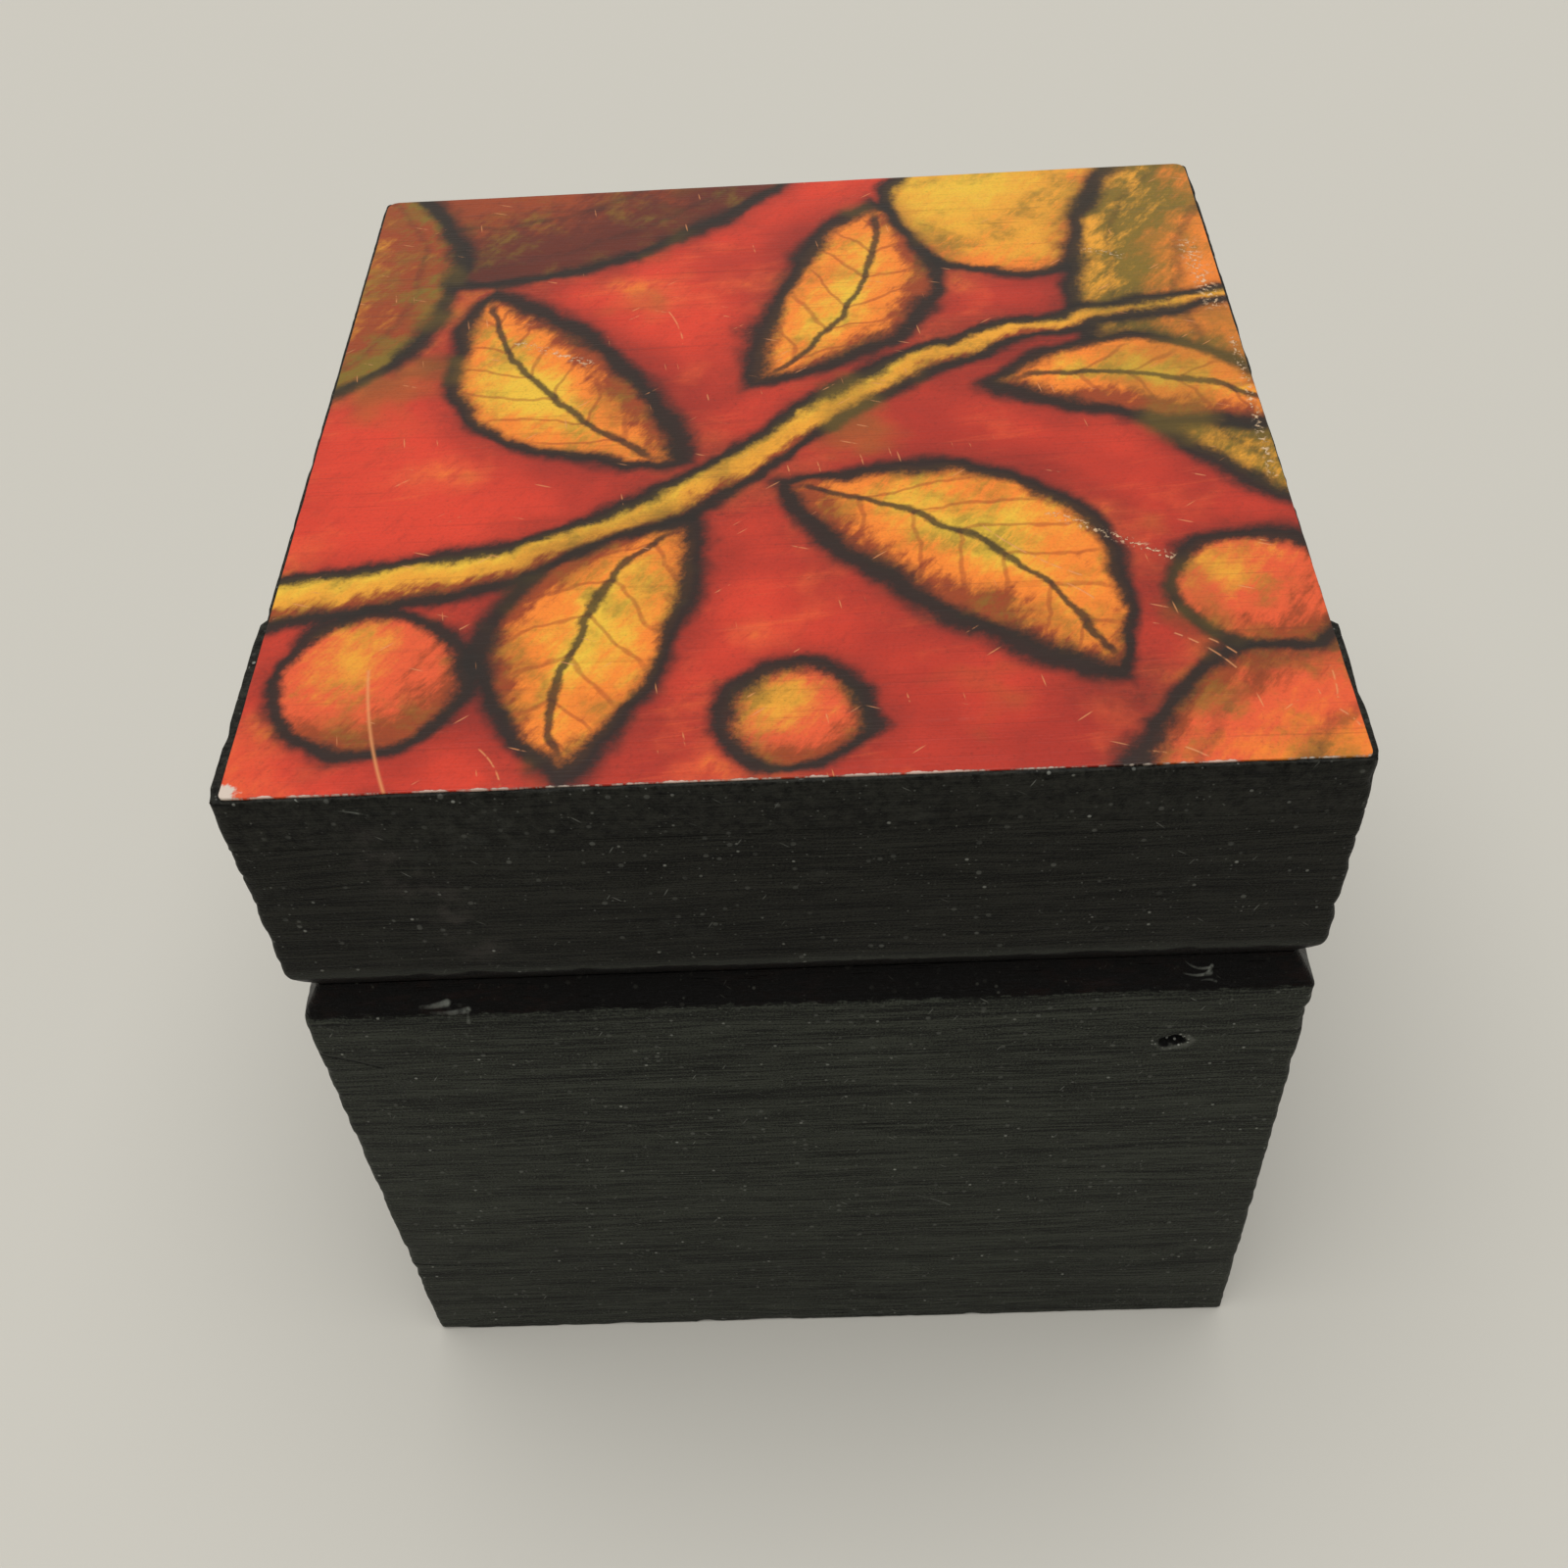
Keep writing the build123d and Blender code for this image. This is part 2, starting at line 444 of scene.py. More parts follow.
def daub(x, y, start, end, half_width, bend):
    """A smear of paint, thin and faint at its start and broad and round at its end."""
    along, off, length = bent(x, y, start, end, bend)
    share = (along / length + 0.5).high(0.0).low(1.0)
    gap = hypot(off, (along.abs() - length / 2).high(0.0))
    return (gap / (share * 0.55 + 0.45)).ramp(half_width, half_width * 0.3) * (share * 0.85 + 0.15)


# Marks on the front of the box, at X and Z. A smear has a start, an end, a half width, a bend and
# how light it is. A crack has a start, an end and a bend, a scuff a start, an end and a half width.
SMEARS = (
    ((-37.9, 69.95), (-35.2, 70.25), 0.48, -0.1, 0.38),
    ((-36.9, 69.3), (-33.2, 69.45), 0.42, -0.15, 0.32),
    ((-33.2, 69.45), (-33.4, 67.9), 0.28, 0.0, 0.2),
    ((37.1, 71.6), (39.4, 70.95), 0.2, -0.3, 0.34),
    ((39.2, 70.6), (39.75, 71.4), 0.26, 0.0, 0.4),
    ((38.9, 70.6), (39.6, 70.8), 0.36, 0.0, 0.4),
    ((37.0, 70.7), (38.9, 70.5), 0.2, -0.12, 0.32),
    ((38.7, 70.2), (40.2, 70.1), 0.18, 0.12, 0.2),
    ((10.6, 31.4), (15.1, 28.7), 0.18, 0.2, 0.3),
    ((-38.7, 100.1), (-36.3, 99.4), 0.2, 0.1, 0.42),
)
CRACKS = (
    ((42.5, 61.6), (49.9, 61.9), 0.1),
    ((-50.3, 18.0), (-42.3, 17.0), -0.1),
    ((-50.4, 63.7), (-43.7, 60.6), 0.2),
    ((-28.5, 49.7), (-17.0, 47.8), 0.2),
)
SCUFFS = (((-38.0, 95.5), (-35.0, 90.0), 4.5), ((-32.5, 87.0), (-30.0, 80.5), 4.0))
CRACK_HALF_WIDTH = 0.28

# The marks are only on what lies in front of these Y places, with a soft start between them
FRONT_FROM = (-46.0, -47.0)

# The knot hole's middle at X and Z, and how much wider than high it is
PIT_PLACE = (36.9, 60.6)
PIT_STRETCH = 1.5

# Colours of the painted wood and of its marks, dark and light where there are two
# Painted light: the base and the lid have the same black paint, painted lighter on the base for the
# floor light it reflects and darker on the lid
BASE_PAINT_FLOOR_LIT = (rgb(14, 15, 13), rgb(64, 67, 59))
LID_PAINT_SHADED = (rgb(7, 7, 6), rgb(44, 44, 39))
PORES = rgb(10, 10, 10)
SCUFFED = rgb(88, 90, 84)
DUST = rgb(168, 170, 162)
# Painted highlight: a lighter band along the rounded lower edge of the lid, above the groove
LIP_HIGHLIGHT = rgb(66, 69, 63)
# Painted shade: the groove's paint is painted near black for the shadow under the lid's overhang
GROOVE_SHADED_BLACK = rgb(3, 2, 2)
RUSTY = rgb(34, 18, 14)
GROOVE_DUST = rgb(110, 110, 102)
BROWN_SCUFF = rgb(88, 82, 78)
SMEARED = rgb(176, 180, 170)
CRACKED = rgb(8, 8, 8)
# Painted light in the knot hole: a highlight on its rim, shade in its middle and glints
PIT_RIM_HIGHLIGHT = rgb(124, 126, 118)
PIT_SHADE = rgb(6, 6, 6)
PIT_GLINT_HIGHLIGHT = rgb(180, 182, 174)

# Strength of the shine, and height of the bumps in metres
WOOD_SHINE = 0.07
WOOD_BUMP = 0.00013
PICTURE_SHINE = 0.2
PICTURE_BUMP = 0.00012
BRASS_BUMP = 0.00002


def front_marks(paint, colour, height):
    """Smears, cracks, scuffs and a small knot hole on the front of the box, with painted shade in the
    knot hole and painted highlights on its rim and as glints.
    """
    x, z = paint.x, paint.z
    front = paint.y.ramp(*FRONT_FROM)
    uneven = paint.noise(1.1, 3.0, 0.6)
    cloudy = paint.noise(2.6, 4.0, 0.65)
    for start, end, reach in SCUFFS:
        scuff = stroke(x, z, start, end, reach) * cloudy.ramp(0.4, 0.68) * front
        colour = paint.mix(scuff * 0.32, colour, BROWN_SCUFF)
    for start, end, half_width, bend, light in SMEARS:
        smear = daub(x, z, start, end, half_width, bend) * uneven.ramp(0.28, 0.6) * front
        colour = paint.mix(smear * light, colour, SMEARED)
        height = height + smear * 0.8
    for start, end, bend in CRACKS:
        crack = stroke(x, z, start, end, CRACK_HALF_WIDTH, bend) * uneven.ramp(0.3, 0.48) * front
        colour = paint.mix(crack * 0.85, colour, CRACKED)
        height = height - crack * 2.0
    from_pit = hypot((x - PIT_PLACE[0]) / PIT_STRETCH, z - PIT_PLACE[1]) + (uneven - 0.5) * 1.1
    # Painted light in the knot hole: its rim painted lighter on the lower right side as a highlight, its
    # middle painted dark as shade, and bright flecks painted as glints
    rim = from_pit.ramp(1.75, 1.2) * (x - PIT_PLACE[0] - z + PIT_PLACE[1]).ramp(-0.8, 1.2) * front
    colour = paint.mix(rim * 0.35, colour, PIT_RIM_HIGHLIGHT)
    colour = paint.mix(from_pit.ramp(1.15, 0.75) * front, colour, PIT_SHADE)
    pit_glint_highlights = paint.flecks(0.4, 0.45, 0.35) * from_pit.ramp(1.5, 1.1) * front
    return paint.mix(pit_glint_highlights * 0.7, colour, PIT_GLINT_HIGHLIGHT), height


def wood_paint(name, grain):
    """Brushed black paint over open grain that runs along the given axis, 0 for X and 1 for Y, with
    painted shade in the groove, a painted highlight on the lid's lower lip and the base painted lighter
    than the lid.
    """
    paint = Paint(name)
    on_lid = paint.z.ramp(PARTING_Z - 0.2, PARTING_Z + 0.2)
    on_top = paint.z.ramp(FRAME_TOP_Z - 0.2, FRAME_TOP_Z + 0.2)
    wall = (paint.y, paint.z, paint.x) if grain else (paint.x, paint.z, paint.y)
    wall = paint.join(*wall)
    drift = paint.noise((30.0, 9.0, 9.0), 1.0, place=wall) * 2.4
    wall = paint.vector("ADD", wall, paint.join(0.0, drift, 0.0))
    fibres = paint.noise((16.0, 0.34, 0.6), 3.0, 0.7, place=wall)
    fine = paint.noise((5.0, 0.13, 0.3), 2.0, 0.6, place=wall)
    streaks = paint.noise((42.0, 2.4, 3.0), 4.0, 0.65, place=wall)
    clouds = paint.noise(13.0, 4.0, 0.6)
    lumps = paint.noise(0.8, 3.0, 0.65)
    pores = paint.flecks((5.5, 0.45, 1.2), 0.3, 0.3, place=wall)
    grit = paint.noise(0.22, 2.0, 0.6)
    lines = (fibres - 0.5) * 1.9 + (fine - 0.5) * 2.0 + (streaks - 0.5) * 0.8 + (grit - 0.5) * 2.2
    lines = lines * (1.0 - on_top * 0.6) + (lumps - 0.5) * on_top * 1.6
    # Painted light: the base's paint is painted lighter than the lid's for the floor light it reflects
    dark = paint.mix(on_lid, BASE_PAINT_FLOOR_LIT[0], LID_PAINT_SHADED[0])
    light = paint.mix(on_lid, BASE_PAINT_FLOOR_LIT[1], LID_PAINT_SHADED[1])
    colour = paint.mix((lines + 0.5).ramp(0.0, 1.0), dark, light)
    colour = paint.mix(pores * 0.5, colour, PORES)

    scuffs = clouds.ramp(0.54, 0.74) * paint.noise(1.5, 4.0, 0.65).ramp(0.42, 0.72)
    colour = paint.mix(scuffs * 0.25, colour, SCUFFED)
    patchy = paint.noise(5.0, 3.0, 0.7).ramp(0.36, 0.68)
    dust = paint.flecks(1.7, 0.13, 0.3).high(paint.flecks(1.1, 0.3, 0.16) * 0.3)
    dust = dust.high(paint.flecks(0.6, 0.22, 0.3) * 0.4)
    hairs = paint.flecks((4.2, 0.4, 1.2), 0.16, 0.05, place=wall, turn=38.0)
    hairs = hairs.high(paint.flecks((3.0, 0.36, 1.2), 0.2, 0.04, place=wall, turn=-61.0))
    specks = dust.high(hairs * 0.6) * (patchy * 0.75 + 0.25)
    colour = paint.mix(specks * 0.7, colour, DUST)

    from_root = (paint.z - PARTING_Z).abs()
    frayed = paint.noise((1.6, 0.5, 1.0), 3.0, 0.7, place=wall) - 0.5
    groove = (from_root + frayed * 1.3).ramp(GROOVE_HALF + 0.1, GROOVE_HALF - 0.2)
    # Painted highlight: a lighter band on the lid's rounded lower edge, just above the groove
    lip_highlight = from_root.ramp(GROOVE_HALF + 1.6, GROOVE_HALF + 0.2) * (paint.z - PARTING_Z).ramp(0.0, 1.0)
    colour = paint.mix(lip_highlight * (1.0 - groove) * 0.35, colour, LIP_HIGHLIGHT)
    rust = paint.noise((2.6, 1.0, 1.0), 4.0, 0.7, place=wall).ramp(0.44, 0.66)
    at_ends = (paint.x.abs() - 45.0).ramp(0.0, 3.0)
    rust = rust * (paint.noise(24.0, 2.0).ramp(0.4, 0.6) * 0.6 + at_ends * 0.4)
    # Painted shade in the groove: near black for the shadow under the lid, with rust-brown patches and
    # dust on it
    groove_shade_rust_dust = paint.mix(rust * 0.55, GROOVE_SHADED_BLACK, RUSTY)
    groove_shade_rust_dust = paint.mix(specks * 0.35, groove_shade_rust_dust, GROOVE_DUST)
    colour = paint.mix(groove, colour, groove_shade_rust_dust)

    height = lines * 0.5 - pores * 0.6 + specks * 0.5 + lumps * 0.35
    if grain == 0:
        colour, height = front_marks(paint, colour, height)
    rough = clouds * 0.2 + (lines * 0.12) + 0.38 - groove * 0.16 + specks * 0.3
    paint.shader.inputs["Specular IOR Level"].default_value = WOOD_SHINE
    return paint.finish(colour, rough, height, WOOD_BUMP)


# Sizes of the knot hole, the ragged ends and the rounding of the groove's lips
PIT_RADIUS = 0.7
PIT_DEPTH = 1.0
RAGGED_REACH = 1.6
LID_LIP_ROUNDING = 0.3
BASE_LIP_ROUNDING = 0.15

# Corners knocked off the wood: place, reach and depth
CHIPS = (
    ((-50, -50, 75.9), 0.7, 0.1),
    ((50, -50, 75.9), 0.6, 0.15),
    ((-50, -50, 69.1), 0.8, 0.25),
    ((50, -50, 101.6), 1.0, 0.25),
)


def outside(bound):
    """Whether a board's side bound is on the outside of the box."""
    return abs(abs(bound) - HALF) < 0.1


def groove_inset(z):
    """How far the outside walls stand back at a height, with the groove's outer edges rounded."""
    above = GROOVE_HALF - np.abs(z - PARTING_Z)
    rounding = np.where(z > PARTING_Z, LID_LIP_ROUNDING, BASE_LIP_ROUNDING)
    return GROOVE_DEPTH / GROOVE_HALF * (above + np.hypot(above, rounding)) / 2


def shape_walls(points, low, high, is_top):
    """Leans the outside walls in at the groove, and narrows the top board behind its front strip."""
    inset = groove_inset(points[:, 2])
    left = inset + (STEP * smooth(points[:, 1], STEP_LEFT_Y, STEP_LEFT_Y + STEP_RUN) if is_top else 0)
    right = inset + (STEP * smooth(points[:, 1], STEP_RIGHT_Y, STEP_RIGHT_Y + STEP_RUN) if is_top else 0)
    insets = ((left, right), (inset, inset))
    limits = []
    for axis in (0, 1):
        lowest = low[axis] + (insets[axis][0] if outside(low[axis]) else 0)
        highest = high[axis] - (insets[axis][1] if outside(high[axis]) else 0)
        share = (points[:, axis] - low[axis]) / (high[axis] - low[axis])
        limits.append((lowest + 0 * share, highest + 0 * share))
        points[:, axis] = lowest + share * (highest - lowest)
    limits.append((np.full(len(points), low[2]), np.full(len(points), high[2])))
    return limits


def corner_radius(axis_a, bound_a, axis_b, bound_b):
    """How softly the edge between two faces of a board is rounded."""
    walls = [outside(bound) for axis, bound in ((axis_a, bound_a), (axis_b, bound_b)) if axis < 2]
    if all(walls) and len(walls) == 2:
        return BACK_CORNER_RADIUS if bound_b > 0 else FRONT_CORNER_RADIUS
    ends = axis_b == 2 and (bound_b < 0.1 or bound_b > TOP_Z - 0.1)
    return RIM_RADIUS if ends and walls[0] else JOINT_RADIUS


def round_edge(points, side_a, side_b, radius):
    """Draws in what lies past an edge's arc. A side is an axis, a sign and a limit."""
    (axis_a, sign_a, limit_a), (axis_b, sign_b, limit_b) = side_a, side_b
    a = radius - sign_a * (limit_a - points[:, axis_a])
    b = radius - sign_b * (limit_b - points[:, axis_b])
    past = (a > 1e-9) & (b > 1e-9)
    pull = np.where(past, np.maximum(a, b) / np.maximum(np.hypot(a, b), 1e-9), 1)
    points[:, axis_a] -= np.where(past, sign_a * a * (1 - pull), 0)
    points[:, axis_b] -= np.where(past, sign_b * b * (1 - pull), 0)


def round_edges(points, low, high, limits):
    """Rounds each edge of a board by its own radius."""
    for axis_a, axis_b in ((0, 1), (0, 2), (1, 2)):
        for end_a in (0, 1):
            for end_b in (0, 1):
                bound_a, bound_b = (low, high)[end_a][axis_a], (low, high)[end_b][axis_b]
                radius = corner_radius(axis_a, bound_a, axis_b, bound_b)
                side_a = (axis_a, (-1, 1)[end_a], limits[axis_a][end_a])
                side_b = (axis_b, (-1, 1)[end_b], limits[axis_b][end_b])
                round_edge(points, side_a, side_b, radius)


def wear(points, grain):
    """How far the surface lies below its true place: grain, dents and worn edges."""
    grain_size = [0.5, 0.5, 0.5]
    grain_size[grain] = 14.0
    depth = 0.025 * (1 + noise(points, grain_size, 1))
    depth += 0.03 * (1 + noise(points, 22.0, 2))
    gap_x, gap_y = HALF - np.abs(points[:, 0]), HALF - np.abs(points[:, 1])
    z = points[:, 2]
    arrises = [z, TOP_Z - z, np.abs(np.abs(z - PARTING_Z) - GROOVE_HALF)]
    gap_z = np.minimum.reduce([np.abs(a) for a in arrises])
    edge = np.sort(np.stack([gap_x, gap_y, gap_z]), 0)[1]
    dents = np.clip(noise(points, 2.6, 3) - 0.25, 0, 1)
    depth += near(edge, 0.8) * (0.4 * dents + 0.05 * (1 + noise(points, 0.8, 4)))
    for place, reach, most in CHIPS:
        gap = np.linalg.norm(points - place, axis=1)
        depth += most * near(gap, reach) * (1 + 0.5 * noise(points, 1.1, 5))
    return depth


def roughen_ends(points, waves, teeth):
    """Sinks the end grain of a board that runs the full width, so that its outline is uneven."""
    x, y, z = points[:, 0], points[:, 1], points[:, 2]
    shift = teeth * np.maximum(noise(points, (ALIKE, 9, 1.8), 6), 0)
    shift += 0.7 * teeth * np.maximum(noise(points, (ALIKE, 9, 0.8), 7), 0)
    fade = smooth(np.abs(z - FRAME_TOP_Z), 0.0, 4.0)
    shift += waves * fade * np.maximum(noise(points, (ALIKE, 9, 5.0), 8), 0)
    shift *= 0.25 + 0.75 * smooth(np.abs(y), HALF - 6.0, HALF - 1.5)
    points[:, 0] -= np.sign(x) * shift * near(HALF - np.abs(x), RAGGED_REACH)


def pit_depth(points):
    """A small knot hole in the front of the base."""
    from_pit = np.hypot((points[:, 0] - PIT_PLACE[0]) / PIT_STRETCH, points[:, 2] - PIT_PLACE[1])
    radius = PIT_RADIUS * (1 + 0.45 * noise(points, 0.7, 91))
    on_front = points[:, 1] < -HALF + 1
    return np.where(on_front, PIT_DEPTH * np.exp(-((from_pit / radius) ** 4)), 0)


def cut_pockets(points, is_lid):
    """Flattens the rim where the hinge leaves lie."""
    floor = PARTING_Z + (POCKET_DEPTH if is_lid else -POCKET_DEPTH)
    for hinge_x in HINGE_XS:
        inside = np.abs(points[:, 0] - hinge_x) < POCKET_HALF_LENGTH + 0.01
        inside &= points[:, 1] > POCKET_INNER_Y - 0.01
        level = np.maximum(points[:, 2], floor) if is_lid else np.minimum(points[:, 2], floor)
        points[:, 2] = np.where(inside, level, points[:, 2])


def board(node, body, cell, grain, material, ends):
    """One wooden board of the box, worn and with its grain standing out."""
    low, high = (tuple(corner / METRES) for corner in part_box(node))
    is_top, is_back = node == "lid_top_board", "back" in node
    stops_x, stops_z = [], []
    stops_y = [STEP_LEFT_Y, STEP_RIGHT_Y, STEP_LEFT_Y + STEP_RUN, STEP_RIGHT_Y + STEP_RUN]
    for edge in (PARTING_Z - GROOVE_HALF, PARTING_Z + GROOVE_HALF):
        stops_z += [edge + gap for gap in GROOVE_LINES]
    if is_back:
        for hinge_x in HINGE_XS:
            for edge in (hinge_x - POCKET_HALF_LENGTH, hinge_x + POCKET_HALF_LENGTH):
                stops_x += [edge - 0.02, edge + 0.02]
        stops_y += [POCKET_INNER_Y - 0.03, POCKET_INNER_Y]
    if node == "base_front_board":
        stops_x += list(PIT_PLACE[0] + np.arange(-PIT_LINES_X, PIT_LINES_X + 0.01, PIT_CELL))
        stops_z += list(PIT_PLACE[1] + np.arange(-PIT_LINES_Z, PIT_LINES_Z + 0.01, PIT_CELL))
    all_stops = (stops_x, stops_y, stops_z)
    places = [lattice(low[i], high[i], cell, stops) for i, stops in enumerate(all_stops)]
    points, quads = lattice_box(*places)
    limits = shape_walls(points, low, high, is_top)
    round_edges(points, low, high, limits)
    depth = wear(points, grain)
    if node == "base_front_board":
        depth += pit_depth(points)
    sink = vertex_normals(points, quads) * depth[:, None]
    at_joint = np.abs(points[:, 2] - FRAME_TOP_Z) < 0.1
    sink[at_joint, 2] *= JOINT_SINK
    points -= sink
    roughen_ends(points, *ends)
    if is_back:
        cut_pockets(points, body == "lid")
    return make_piece(node + "_worn", points, quads, body, material, [node])


def picture_sheet(material):
    """The paper picture, with torn edges, lying on the lid."""
    low, high = PICTURE_LOW, PICTURE_HIGH
    xs, ys = lattice(low.x, high.x, PICTURE_CELL), lattice(low.y, high.y, PICTURE_CELL)
    points, quads = lattice_box(xs, ys, np.array([TOP_Z - PICTURE_SUNK, high.z]))
    for side_x in ((0, -1, low.x), (0, 1, high.x)):
        round_edge(points, side_x, (1, -1, low.y), PICTURE_FRONT_CORNER)
        round_edge(points, side_x, (1, 1, high.y), PICTURE_BACK_CORNER)
    share = (points[:, 1] - low.y) / (high.y - low.y)
    middle = (low.x + high.x) / 2
    trim = PICTURE_NARROWER_BACK * share + PICTURE_TRIM
    points[:, 0] -= trim * (points[:, 0] - low.x) / (high.x - low.x)
    for axis, size in ((0, (ALIKE, 3.0, 9)), (1, (3.0, ALIKE, 9))):
        centre = middle if axis == 0 else 0.0
        torn = PICTURE_TORN * (1 + noise(points, size, 40 + axis))
        reach = (high.x - low.x) / 2
        pull = near(np.abs(np.abs(points[:, axis] - centre) - reach), 1.0)
        points[:, axis] -= np.sign(points[:, axis] - centre) * torn * pull
    lifted = points[:, 2] > TOP_Z
    relief = 0.02 * (1 + noise(points, (14, 0.5, 9), 43)) + 0.02 * (1 + noise(points, 18, 44))
    points[:, 2] -= np.where(lifted, relief, 0)
    return make_piece("picture", points, quads, "lid", material, ["print_sheet"])


# The picture's palette
SCARLET = rgb(216, 66, 46)
DEEP_RED = rgb(170, 50, 38)
VERMILION = rgb(226, 92, 54)
ORANGE = rgb(242, 134, 50)
AMBER = rgb(232, 160, 54)
YELLOW = rgb(234, 188, 62)
OLIVE = rgb(126, 102, 36)
RUST = rgb(150, 66, 34)
MAROON = rgb(98, 42, 31)
UMBER = rgb(36, 30, 27)
PAPER = rgb(210, 194, 180)
SCRATCHED = rgb(226, 150, 96)
# Pale flecks on the crinkles: flaked varnish and painted highlights on the crinkled varnish
FLAKES_AND_HIGHLIGHTS = rgb(232, 198, 160)

# The picture's layout, in millimetres from the middle of the lid. A leaf has a middle, an angle in
# degrees, a length, a width and a bend. A round has a middle and a radius.
HILLS = (
    ((82, 22), 50, AMBER, OLIVE, ORANGE),
    ((-38, 76), 46, MAROON, MAROON, RUST),
    ((-68, 32), 30, OLIVE, RUST, AMBER),
    ((62, -66), 37, RUST, VERMILION, ORANGE),
)
SUN = ((27, 42), 15)
BRANCH = ((0, -2), 27)
LEAVES = (
    ((-24, 10), 124, 40, 18, 5),
    ((-17, -31), -106, 36, 17, -5),
    ((6, 25), 70, 38, 17, -5),
    ((17, -22), -44, 42, 20, 6),
    ((38, 4), -16, 32, 14, 4),
)
FRUITS = (((-38, -36), 9), ((1, -42), 6.5), ((44, -28), 8))


class Canvas:
    """The picture being painted, from the ground up."""

    def __init__(self, paint):
        self.paint = paint
        sway_x = paint.noise(7.0, 3.0, place=paint.layer(3.0)) - 0.5
        sway_y = paint.noise(7.0, 3.0, place=paint.layer(37.0)) - 0.5
        self.x = paint.x + sway_x * 4.0
        self.y = paint.y + sway_y * 4.0
        self.cloud = paint.noise(9.0, 4.0, 0.6)
        self.brush = paint.noise((1.0, 3.2, 9.0), 4.0, 0.7, turn=35.0)
        self.grit = paint.noise(0.55, 3.0, 0.7)
        self.mottle = (self.cloud - 0.5) * 1.4 + (self.brush - 0.5) * 1.1
        self.smoke = (self.brush * 0.8 + self.grit * 0.9).ramp(0.25, 1.1)
        self.line_width = self.cloud * 2.6 - 0.35
        self.line_edge = (self.grit - 0.5) * 1.3 + (self.brush - 0.5) * 0.8
        mud = paint.noise(7.5, 4.0, 0.65, place=paint.layer(61.0))
        self.mud = mud.ramp(0.46, 0.66) * self.brush.ramp(0.3, 0.6) * 0.65
        self.colour = self.ground()

    def ground(self):
        paint = self.paint
        patches = paint.noise(26.0, 3.0)
        colour = paint.mix(patches.ramp(0.38, 0.62), DEEP_RED, SCARLET)
        warm = paint.noise(17.0, 4.0, 0.6, place=paint.layer(80.0))
        colour = paint.mix(warm.ramp(0.5, 0.68) * 0.8, colour, VERMILION)
        colour = paint.mix(warm.ramp(0.6, 0.74) * self.brush.ramp(0.35, 0.6), colour, ORANGE)
        shade = paint.noise(15.0, 4.0, 0.6, place=paint.layer(120.0))
        colour = paint.mix(shade.ramp(0.52, 0.72) * 0.45, colour, MAROON)
        sweep = paint.noise((14.0, 1.1, 9.0), 4.0, 0.7, turn=-8.0)
        colour = paint.mix(sweep.ramp(0.54, 0.7) * warm.ramp(0.4, 0.6) * 0.5, colour, VERMILION)
        return paint.mix(self.brush.ramp(0.5, 0.3) * 0.3, colour, DEEP_RED)

    def wash(self, distance, reach, strength=0.6):
        """A soft dark smudge outside a shape."""
        fade = (distance + self.mottle * 2.5).ramp(reach, -0.3 * reach) * self.smoke
        self.colour = self.paint.mix(fade * strength, self.colour, UMBER)

    def fill(self, distance, colour):
        self.colour = self.paint.mix(distance.ramp(0.35, -0.35), self.colour, colour)

    def outline(self, distance, width):
        """A charcoal line whose width and edge are uneven."""
        line = (distance.abs() / self.line_width + self.line_edge).ramp(width * 1.25, width * 0.2)
        self.colour = self.paint.mix(line * 0.97, self.colour, UMBER)

    def glow(self, depth, rim, body, light):
        """A colour that runs from rim to light as a shape's depth goes from 0 to 1."""
        depth = depth + self.mottle
        colour = self.paint.mix(depth.ramp(-0.05, 0.4), rim, body)
        colour = self.paint.mix(depth.ramp(0.4, 1.15), colour, light)
        return self.paint.mix(self.mud, colour, OLIVE)

    def hill(self, middle, radius, rim, body, light):
        """A broad round hill, seen only where it reaches into the picture."""
        distance = hypot(self.x - middle[0], self.y - middle[1]) - radius
        self.wash(distance, 5.0, strength=0.55)
        self.fill(distance, self.glow(distance * (-1 / 15), rim, body, light))
        furrow = ((distance + self.mottle * 2.0) / 8.0).math("FRACT") - 0.5
        furrow = furrow.abs().ramp(0.14, 0.0) * distance.ramp(-3.0, -5.0) * self.smoke
        self.colour = self.paint.mix(furrow * 0.5, self.colour, UMBER)
        self.outline(distance, 1.9)

    def round(self, middle, radius, rim, body, light):
        """A fruit or the sun, lit from the left and the back."""
        right, back = self.x - middle[0], self.y - middle[1]
        distance = hypot(right, back) - radius
        lit = hypot(right + radius * 0.3, back - radius * 0.3) / radius
        self.wash(distance, 4.5)
        self.fill(distance, self.glow(1.15 - lit, rim, body, light))
        self.outline(distance, 1.5)

    def branch(self, middle, angle):
        along, off = turned(self.x, self.y, middle, angle)
        off = off - (along / 15.0).math("SINE") * 4.5
        distance = off.abs() + along * 0.02 - 2.4
        self.wash(distance, 5.0)
        self.fill(distance, self.glow(0.45 + off * 0.25, RUST, AMBER, YELLOW))
        self.outline(distance, 1.4)

    def leaf(self, middle, angle, length, width, bend):
        """A leaf with a dark midrib and faint side veins, yellow in its middle."""
        half, reach = length / 2, width / 2
        radius = (half**2 + reach**2) / (2 * reach)
        along, off = turned(self.x, self.y, middle, angle)
        off = off + along * along * (bend / half**2) - bend / 2
        distance = hypot(along, off.abs() + (radius - reach)) - radius
        self.wash(distance, 7.0)
        side = off * (0.5 / reach)
        self.fill(distance, self.glow(distance * (-1.1 / reach) + side, RUST, ORANGE, YELLOW))
        inside = distance.ramp(-0.4, -2.5)
        veins = ((along - off.abs() * 0.9) / 5.5).math("FRACT") - 0.5
        self.colour = self.paint.mix(veins.abs().ramp(0.09, 0.02) * inside * 0.5, self.colour, RUST)
        rib = (off.abs() + (self.grit - 0.5) * 0.7).ramp(0.75, 0.2)
        self.colour = self.paint.mix(rib * inside * 0.85, self.colour, UMBER)
        self.outline(distance, 1.8)


